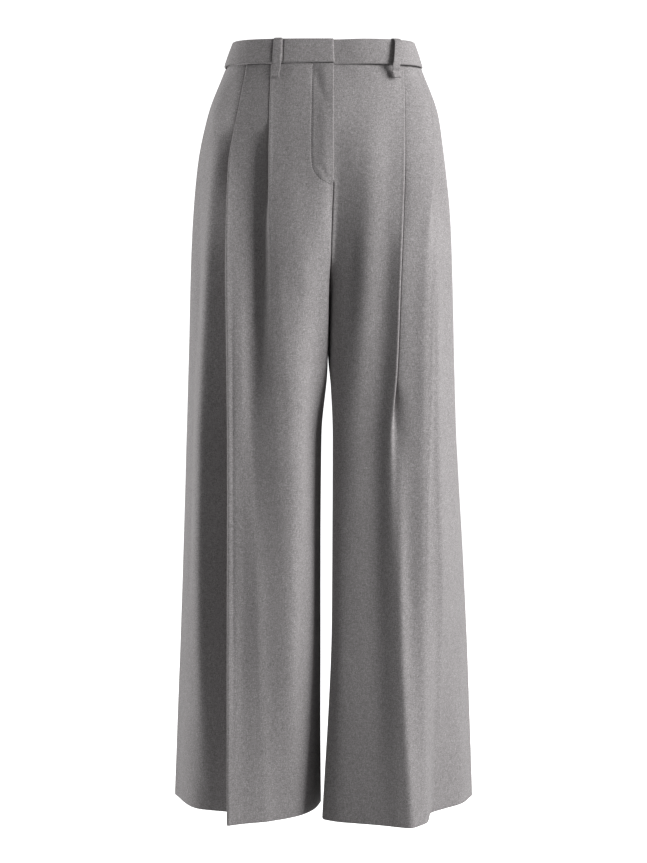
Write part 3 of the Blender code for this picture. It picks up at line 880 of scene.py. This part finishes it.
def panel(face, side):
    name = f"{face}_{side}"
    to_axis = 1.0 if side == "right" else -1.0
    inward_sign = to_axis * (1 if face == "front" else -1)
    plan = []
    drops = []
    insets = []
    for drop, inset in panel_rows():
        points = section(face, side, min(drop, HEM))
        if face == "front" and side == "right":
            points[:, 1] -= lap_stand(points, drop) * (points[:, 1] < FLY_FRONT)
        plan.append(turned_in(points, inward_sign, edge_radii(face, side, drop)))
        drops.append(np.full(len(plan[-1]), drop))
        insets.append(inset)
    plan, drops = np.array(plan), np.array(drops)
    out = outwards(plan, drops, side)
    creases = (FRONT_CREASES if face == "front" else BACK_CREASES)[side]
    relief = unevenness(plan, drops) - crease_depth(plan[..., 0], drops, creases)
    if name == "front_right":
        relief -= stitched_trough(plan[..., 0], drops) * (plan[..., 1] < FLY_FRONT)
    plan = plan + out * relief[..., None]
    along = unit(np.gradient(plan, axis=1))
    inward = inward_sign * np.stack([-along[..., 1], along[..., 0]], -1)
    plan = plan + np.array(insets)[:, None, None] * np.where(drops[..., None] < FORK, -out, inward)
    near_waist = 1 - ease(drops, PANEL_TOP, PANEL_TOP + RISE_FADE)
    height = waist_rise(side, plan[..., 1]) * near_waist - drops
    vertices = np.concatenate([plan, height[..., None]], -1).reshape(-1, 3)
    made = new_object(name + "_cloth", vertices, grid_faces(*drops.shape, flipped=inward_sign > 0))
    thicken(made, CLOTH)
    as_cloth(made, name)
    return made


def band_point(turn, drop, inset=0.0):
    """A point on the waistband's outer face, or that far inside it, and the way out there."""
    share = drop / BAND_HEIGHT
    half_width = BAND_TOP_HALF[0] + share * (BAND_FOOT_HALF[0] - BAND_TOP_HALF[0])
    half_depth = BAND_TOP_HALF[1] + share * (BAND_FOOT_HALF[1] - BAND_TOP_HALF[1])
    angle = math.radians(turn)
    ray = np.array([math.sin(angle), -math.cos(angle)])
    ray /= (np.abs(ray) ** BAND_SQUARENESS).sum() ** (1 / BAND_SQUARENESS)
    half = np.array([half_width, half_depth])
    outward = unit(np.sign(ray) * np.abs(ray) ** (BAND_SQUARENESS - 1) / half)
    return ray * half - inset * outward, outward


def band_profile():
    """The folded waistband's section from its outer foot over the top, as (depth, drop).

    A depth of 0 is the outer face and 1 the inner face.
    """
    foot = BAND_HEIGHT - SEAM_GROOVE
    outer = [(depth, foot - height) for depth, height in BAND_HEM]
    for share in np.linspace(0, 1, BAND_POINTS["outer"]):
        drop = (1 - share) * (foot - BAND_OUTER_FREE) + BAND_SHOULDER * share
        outer.append((-BAND_CROWN * math.sin(math.pi * share), drop))
    top = []
    for angle in np.linspace(BAND_TOP_START, math.pi - BAND_TOP_START, BAND_POINTS["top"]):
        top.append((0.5 - 0.5 * math.cos(angle), BAND_TOP_RISE * (1 - math.sin(angle))))
    lowest = BAND_HEIGHT - BAND_INNER_FREE
    inner = [(1.0, drop) for drop in np.linspace(BAND_SHOULDER, lowest, BAND_POINTS["inner"])]
    return outer + top + inner


def loop_dent(turn, drop):
    """How far the band is pressed in beside the belt loop that lies close on it."""
    top_turn, foot_turn, _ = LOOPS["belt_loop_front_right"]
    away = turn - (top_turn + drop / BAND_HEIGHT * (foot_turn - top_turn))
    return sum(
        depth * math.exp(-(((away - place) / half_width) ** 2)) for depth, place, half_width in LOOP_DENTS
    )


def waistband(side, turns, insets, lower):
    """One half of the waistband, a strip folded along its top edge; its two ends are closed."""
    profile = band_profile()
    rows = []
    arc = np.radians(turns - turns[0]) * BAND_FOOT_HALF[0] * BAND_MEAN
    half = BAND_WALL / 2
    for turn, inset, at, sag in zip(turns, insets, arc, lower):
        from_end = min(at, arc[-1] - at)
        closing = math.sqrt(max(half**2 - max(half - from_end, 0) ** 2, 0.0)) / half
        row = []
        for depth, drop in profile:
            across = inset + half + (depth - 0.5) * BAND_WALL * closing
            across += loop_dent(turn, drop) * (depth < 0.1)
            place, _ = band_point(turn, drop, across)
            wave = BAND_WAVE * noise.noise(Vector((at / BAND_WAVE_SIZE[0], drop / BAND_WAVE_SIZE[1], 2.0)))
            place = place * (1 + wave / BAND_WAVE_RADIUS)
            rise = waist_rise(side, place[1]) * ease(drop, 0, BAND_HEIGHT)
            row.append((place[0], place[1], rise - drop - sag))
        rows.append(row)
    name = f"waistband_{side}"
    vertices = np.array(rows).reshape(-1, 3)
    made = new_object(name + "_cloth", vertices, grid_faces(len(rows), len(profile)))
    thicken(made, CLOTH)
    as_cloth(made, name)
    return made


def with_close_ends(start, end):
    """Turns from start to end, closely spaced near both ends."""
    near = np.array(END_TURNS)
    along = np.arange(start + BAND_STEP, end - BAND_STEP, BAND_STEP)
    return np.concatenate([start + near, along, end - near[::-1]])


def with_finer(turns, fine, clear=0.0):
    """The turns with a finer run of them put in place of those there."""
    kept = turns[(turns < fine[0] - clear) | (turns > fine[-1] + clear)]
    return np.sort(np.concatenate([kept, fine]))


def waistband_right():
    seam_turn = math.degrees(0.5 * SEAM / BAND_FOOT_HALF[0])
    turns = with_close_ends(CENTRE_TURN - 180 + seam_turn, CENTRE_TURN)
    top_turn, foot_turn, _ = LOOPS["belt_loop_front_right"]
    turns = with_finer(turns, np.arange(top_turn - DENT_REACH, foot_turn + DENT_REACH, DENT_STEP))
    return waistband("right", turns, np.zeros(len(turns)), np.zeros(len(turns)))


def waistband_left():
    """The left half runs on under the right half's end as the underlap, a little lower there."""
    seam_turn = math.degrees(0.5 * SEAM / BAND_FOOT_HALF[0])
    underlap = math.degrees(UNDERLAP / BAND_FOOT_HALF[0])
    turns = with_close_ends(CENTRE_TURN - underlap, CENTRE_TURN + 180 - seam_turn)
    ramp = CENTRE_TURN + np.linspace(*UNDERLAP_RAMP, RAMP_CELLS)
    turns = with_finer(turns, ramp, clear=0.1)
    out = ease(turns, ramp[0], ramp[-1])
    level = ease(turns, CENTRE_TURN, CENTRE_TURN + LAP_STEP_TURNS)
    insets = UNDERLAP_INSET * (1 - out) + BAND_LAP_STEP * out * (1 - level)
    lower = BAND_LAP_SAG * (1 - ease(turns, CENTRE_TURN, CENTRE_TURN + LAP_SAG_TURNS))
    return waistband("left", turns, insets, lower)


def cloth_stand(turn, drop):
    """How far the panels stand out of the band's outline at a drop, across a belt loop's width."""
    place, outward = band_point(turn, drop)
    sideways = np.array([-outward[1], outward[0]])
    stand = 0.0
    for side in ("right", "left"):
        for face in ("front", "back"):
            points = section(face, side, drop) - place
            under_loop = np.abs(points @ sideways) < LOOP_WIDTH / 2 + SEAM
            under_loop &= points @ outward > -BAND_TOP_HALF[1]
            stand = max(stand, *(points[under_loop] @ outward), 0.0)
    return stand


def stitches(cloth):
    """The fly's stitching: short threads that lie on the right front along its curve."""
    bpy.context.view_layer.update()
    surface = BVHTree.FromObject(cloth, bpy.context.evaluated_depsgraph_get())
    curve = fly_curve()
    place = arc_length(curve)
    angles = np.linspace(0, 2 * math.pi, STITCH_SIDES, endpoint=False)
    vertices = []
    faces = []
    for start in np.arange(0, place[-1] - STITCH_LENGTH, STITCH_PITCH):
        first = len(vertices)
        for share, height in STITCH_PATH:
            at = start + share * STITCH_LENGTH
            x, drop = (np.interp(at, place, curve[:, axis]) for axis in (0, 1))
            ahead = [np.interp(at + 0.5, place, curve[:, axis]) for axis in (0, 1)]
            in_front = Vector((x * MM, cad_box[0][1] - 0.1, -drop * MM))
            hit, normal, _, _ = surface.ray_cast(in_front, Vector((0, 1, 0)))
            along = Vector((ahead[0] - x, 0, drop - ahead[1])).normalized()
            across = normal.cross(along).normalized()
            middle = hit / MM + normal * height * STITCH_RADIUS
            for angle in angles:
                spoke = math.cos(angle) * across + math.sin(angle) * normal
                vertices.append(middle + STITCH_RADIUS * spoke)
        faces += [
            tuple(first + corner for corner in face)
            for face in grid_faces(len(STITCH_PATH), len(angles), closed=True)
        ]
    made = new_object("fly_stitching", vertices, faces)
    made.data.materials.append(thread())
    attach(made, "root")


def zip_teeth():
    """Both rows of the closed zip's teeth, each tooth between two of the other side's."""
    vertices = []
    faces = []
    for index, drop in enumerate(np.arange(TEETH_TOP, TEETH_FOOT - TOOTH_HEIGHT, TOOTH_PITCH / 2)):
        centre_x, centre_y = at_drop(CENTRES["front"], drop, CENTRE_DROPS)
        side = 1 if index % 2 else -1
        first = len(vertices)
        for x in (centre_x + side * TOOTH_LAP, centre_x - side * TEETH_WIDTH / 2):
            for y in (centre_y + TEETH_DEPTH, centre_y + TEETH_DEPTH + TOOTH_THICK):
                vertices += [(x, y, -drop), (x, y, -drop - TOOTH_HEIGHT)]
        faces += [tuple(first + corner for corner in face[::-side]) for face in TOOTH_FACES]
    made = new_object("fly_zip_teeth", vertices, faces)
    made.data.shade_flat()
    made.data.materials.append(steel())
    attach(made, "root")
    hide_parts("fly_zip_chain")


def loop_stations(foot_turn, stand):
    """A belt loop's path over the band: (distance off the band's outer face, drop)."""
    foot = [cloth_stand(foot_turn, drop) + LOOP_GAP + LOOP_THICK / 2 for drop in LOOP_FOOT]
    over = -LOOP_GAP - LOOP_THICK / 2
    full, leave, meet = (share * BAND_HEIGHT for share in LOOP_STATIONS)
    lifted = foot[1] + LOOP_HEM
    edge = [(lifted - inward, LOOP_FOOT[1] + down) for inward, down in LOOP_EDGE]
    return (
        (-BAND_WALL, over),
        (LOOP_LIP, over),
        (stand - LOOP_LIP, LOOP_LIP),
        (stand, full),
        (max(stand, foot[0]), leave),
        (max(stand - LOOP_LIP, foot[0]), meet),
        (foot[0], LOOP_FOOT[0]),
        (foot[1] + LOOP_HEM / 2, LOOP_FOOT[1] - 2.0),
        *edge,
    )


def belt_loop(name, top_turn, foot_turn, stand):
    """A folded strip sewn over the band's top edge, standing off it, and sewn down below its seam."""
    centre = []
    for out, drop in curve_through(loop_stations(foot_turn, stand), LOOP_CELLS):
        share = min(max(drop / BAND_HEIGHT, 0), 1)
        place, outward = band_point(top_turn + share * (foot_turn - top_turn), drop)
        place = place + out * outward
        centre.append((place[0], place[1], -drop))
    centre = np.array(centre)
    outward = np.append(band_point((top_turn + foot_turn) / 2, BAND_HEIGHT / 2)[1], 0.0)
    sideways = np.cross((0, 0, 1), outward)
    direction = unit(np.gradient(centre, axis=0))
    face = unit(np.cross(sideways, direction))
    angles = np.linspace(0, 2 * math.pi, LOOP_ROUND, endpoint=False)
    rounded = np.sign(np.cos(angles)) * np.abs(np.cos(angles)) ** LOOP_SIDES
    domed = np.sign(np.sin(angles)) * np.abs(np.sin(angles)) ** LOOP_FACES
    vertices = []
    ends = len(centre) - 1
    for index, (point, normal) in enumerate(zip(centre, face)):
        width = LOOP_WIDTH / 2 * (1 + LOOP_UNEVEN[0] * math.sin(LOOP_UNEVEN[1] * index + top_turn))
        shrink = LOOP_END if index in (0, ends) else 1.0
        for across, out in zip(rounded, domed):
            hollow = LOOP_HOLLOW * (1 - abs(across)) * max(out, 0)
            lift = out * LOOP_THICK / 2 * shrink - hollow
            vertices.append(point + sideways * across * width + normal * lift)
    faces = grid_faces(len(centre), len(angles), flipped=True, closed=True)
    faces.append(tuple(range(len(angles))))
    faces.append(tuple(ends * len(angles) + index for index in reversed(range(len(angles)))))
    made = new_object(name + "_cloth", vertices, faces)
    as_cloth(made, name)
    return made


# ---------------------------------------------------------------- materials


class Nodes:
    """A short way to add and link a material's nodes."""

    def __init__(self, name):
        self.material = bpy.data.materials.new(name)
        self.material.use_nodes = True
        self.tree = self.material.node_tree
        self.shader = self.tree.nodes["Principled BSDF"]

    def add(self, kind, settings=None, **inputs):
        node = self.tree.nodes.new(kind)
        for key, value in (settings or {}).items():
            setattr(node, key, value)
        for key, value in inputs.items():
            self.put(node.inputs[key.replace("_", " ")], value)
        return node

    def put(self, socket, value):
        if isinstance(value, bpy.types.NodeSocket):
            self.tree.links.new(value, socket)
        else:
            socket.default_value = value

    def math(self, operation, first, second):
        node = self.tree.nodes.new("ShaderNodeMath")
        node.operation = operation
        self.put(node.inputs[0], first)
        self.put(node.inputs[1], second)
        return node.outputs[0]

    def ramped(self, factor, dark, light):
        """Colours the shader between two tones and returns the ramp."""
        node = self.add("ShaderNodeValToRGB", Fac=factor)
        node.color_ramp.elements[0].color = dark
        node.color_ramp.elements[1].color = light
        self.put(self.shader.inputs["Base Color"], node.outputs[0])
        return node.color_ramp

    def fibres(self, stretch, scale, detail, seed):
        """Noise in the object's own space, stretched by axis."""
        place = self.add("ShaderNodeTexCoord").outputs["Object"]
        mapped = self.add("ShaderNodeMapping", Vector=place, Scale=stretch, Location=(seed, seed, seed))
        inputs = {"Vector": mapped.outputs[0], "Scale": scale, "Detail": detail, "Roughness": 0.6}
        return self.add("ShaderNodeTexNoise", **inputs).outputs["Fac"]


_made = {}


def wool():
    """Mid-grey melange worsted: dark and light fibres, with slubs along and across."""
    if "wool" in _made:
        return _made["wool"]
    n = Nodes("wool_melange")
    specks = n.fibres((1, 1, 1), 820, 2, 0.3)
    upright = n.fibres((1, 1, 0.18), 900, 2, 1.7)
    across = n.fibres((0.18, 0.18, 1), 900, 2, 4.1)
    clouds = n.fibres((1, 1, 0.6), 14, 2, 7.9)
    threads = n.fibres((1, 1, 1), 2400, 2, 9.1)
    mixed = n.math("MULTIPLY", n.math("SUBTRACT", specks, 0.5), 0.9)
    for fibre, share in ((upright, 0.45), (across, 0.35), (clouds, 0.12), (threads, 0.4)):
        mixed = n.math("ADD", mixed, n.math("MULTIPLY", n.math("SUBTRACT", fibre, 0.5), share))
    ramp = n.ramped(n.math("ADD", mixed, 0.5), (0.105, 0.098, 0.099, 1), (0.49, 0.47, 0.475, 1))
    ramp.elements[0].position = 0.1
    ramp.elements[1].position = 0.9
    ramp.elements.new(0.5).color = (0.262, 0.249, 0.251, 1)
    height = n.math("ADD", n.math("MULTIPLY", mixed, 0.7), n.math("MULTIPLY", threads, 0.8))
    bump = n.add("ShaderNodeBump", Height=height, Strength=0.35, Distance=0.0004)
    n.put(n.shader.inputs["Normal"], bump.outputs[0])
    n.put(n.shader.inputs["Roughness"], 0.92)
    n.put(n.shader.inputs["Specular IOR Level"], 0.2)
    n.put(n.shader.inputs["Sheen Weight"], 0.12)
    n.put(n.shader.inputs["Sheen Roughness"], 0.45)
    _made["wool"] = n.material
    return n.material


def pale():
    """The floor and the backdrop."""
    n = Nodes("studio_white")
    n.put(n.shader.inputs["Base Color"], (0.9, 0.9, 0.9, 1))
    n.put(n.shader.inputs["Roughness"], 1.0)
    n.put(n.shader.inputs["Emission Color"], (1, 1, 1, 1))
    n.put(n.shader.inputs["Emission Strength"], 0.9)
    return n.material


def tape():
    """The zip tape's dark ribbed weave."""
    n = Nodes("zip_tape_weave")
    ribs = n.fibres((1, 1, 0.2), 1500, 2, 2.2)
    n.ramped(ribs, (0.03, 0.03, 0.032, 1), (0.13, 0.125, 0.125, 1))
    bump = n.add("ShaderNodeBump", Height=ribs, Strength=0.4, Distance=0.0003)
    n.put(n.shader.inputs["Normal"], bump.outputs[0])
    n.put(n.shader.inputs["Roughness"], 0.85)
    return n.material


def thread():
    """The fly's sewing thread, darker than the cloth."""
    n = Nodes("sewing_thread")
    n.ramped(n.fibres((1, 1, 1), 2600, 2, 3.3), (0.03, 0.029, 0.03, 1), (0.1, 0.096, 0.098, 1))
    n.put(n.shader.inputs["Roughness"], 0.8)
    return n.material


def steel():
    """Nickel-plated steel with a brushed grain."""
    n = Nodes("nickel_steel")
    n.ramped(n.fibres((1, 1, 12), 300, 3, 5.5), (0.42, 0.42, 0.43, 1), (0.68, 0.67, 0.66, 1))
    n.put(n.shader.inputs["Metallic"], 1.0)
    n.put(n.shader.inputs["Roughness"], 0.34)
    return n.material


# ---------------------------------------------------------------- studio


def cyclorama():
    """A round pale floor that curves up into a backdrop, wider than any camera's place."""
    profile = [(0, FLOOR_HEIGHT), (STAGE_RADIUS - STAGE_BEND, FLOOR_HEIGHT)]
    for angle in np.linspace(0, math.pi / 2, BEND_CELLS + 1)[1:]:
        reach = STAGE_RADIUS - STAGE_BEND + STAGE_BEND * math.sin(angle)
        profile.append((reach, FLOOR_HEIGHT + STAGE_BEND * (1 - math.cos(angle))))
    profile.append((STAGE_RADIUS, STAGE_HEIGHT))
    turns = np.linspace(0, 2 * math.pi, STAGE_CELLS + 1)
    vertices = [
        (reach * math.cos(turn) / MM, reach * math.sin(turn) / MM, z / MM)
        for turn in turns for reach, z in profile
    ]
    made = new_object("studio", vertices, grid_faces(len(turns), len(profile)))
    made.data.materials.append(pale())
    made.visible_diffuse = False


def area_light(name, azimuth, height, distance, size, power):
    lamp = bpy.data.lights.new(name, "AREA")
    lamp.shape = "RECTANGLE"
    lamp.size, lamp.size_y = size
    lamp.energy = power
    holder = bpy.data.objects.new(name, lamp)
    turn = math.radians(azimuth)
    place = Vector((distance * math.sin(turn), -distance * math.cos(turn), height))
    holder.location = place
    holder.rotation_euler = (Vector(LIT_PLACE) - place).to_track_quat("-Z", "Y").to_euler()
    bpy.context.scene.collection.objects.link(holder)


def studio():
    scene = bpy.context.scene
    cyclorama()
    for name, light in LIGHTS.items():
        area_light(name, *light)
    world = bpy.data.worlds.new("studio")
    world.use_nodes = True
    background = world.node_tree.nodes["Background"].inputs
    background["Color"].default_value = (1, 1, 1, 1)
    background["Strength"].default_value = WORLD_STRENGTH
    scene.world = world
    scene.view_settings.view_transform = "Standard"
    camera = bpy.data.cameras.new("camera")
    camera.lens = CAMERA_LENS
    camera.sensor_width = SENSOR_WIDTH
    holder = bpy.data.objects.new("camera", camera)
    holder.location = (0, -CAMERA_DISTANCE, CAMERA_HEIGHT)
    holder.rotation_euler = (math.radians(90 - CAMERA_PITCH), 0, 0)
    scene.collection.objects.link(holder)
    scene.camera = holder


# ---------------------------------------------------------------- the garment


def finish_small_parts():
    """The zip's tape and slider, the hook and the bar keep their solids, with their own finishes."""
    for name, material in (
        ("fly_zip_tape", tape()),
        ("fly_zip_slider", steel()),
        ("waist_hook", steel()),
        ("waist_bar", steel()),
    ):
        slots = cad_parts[name].data.materials
        slots.clear()
        slots.append(material)


def main():
    fronts = {side: panel("front", side) for side in ("right", "left")}
    backs = {side: panel("back", side) for side in ("right", "left")}
    bands = {"right": waistband_right(), "left": waistband_left()}
    loops = [belt_loop(name, *placing) for name, placing in LOOPS.items()]
    stitches(fronts["right"])
    zip_teeth()
    finish_small_parts()
    studio()


main()
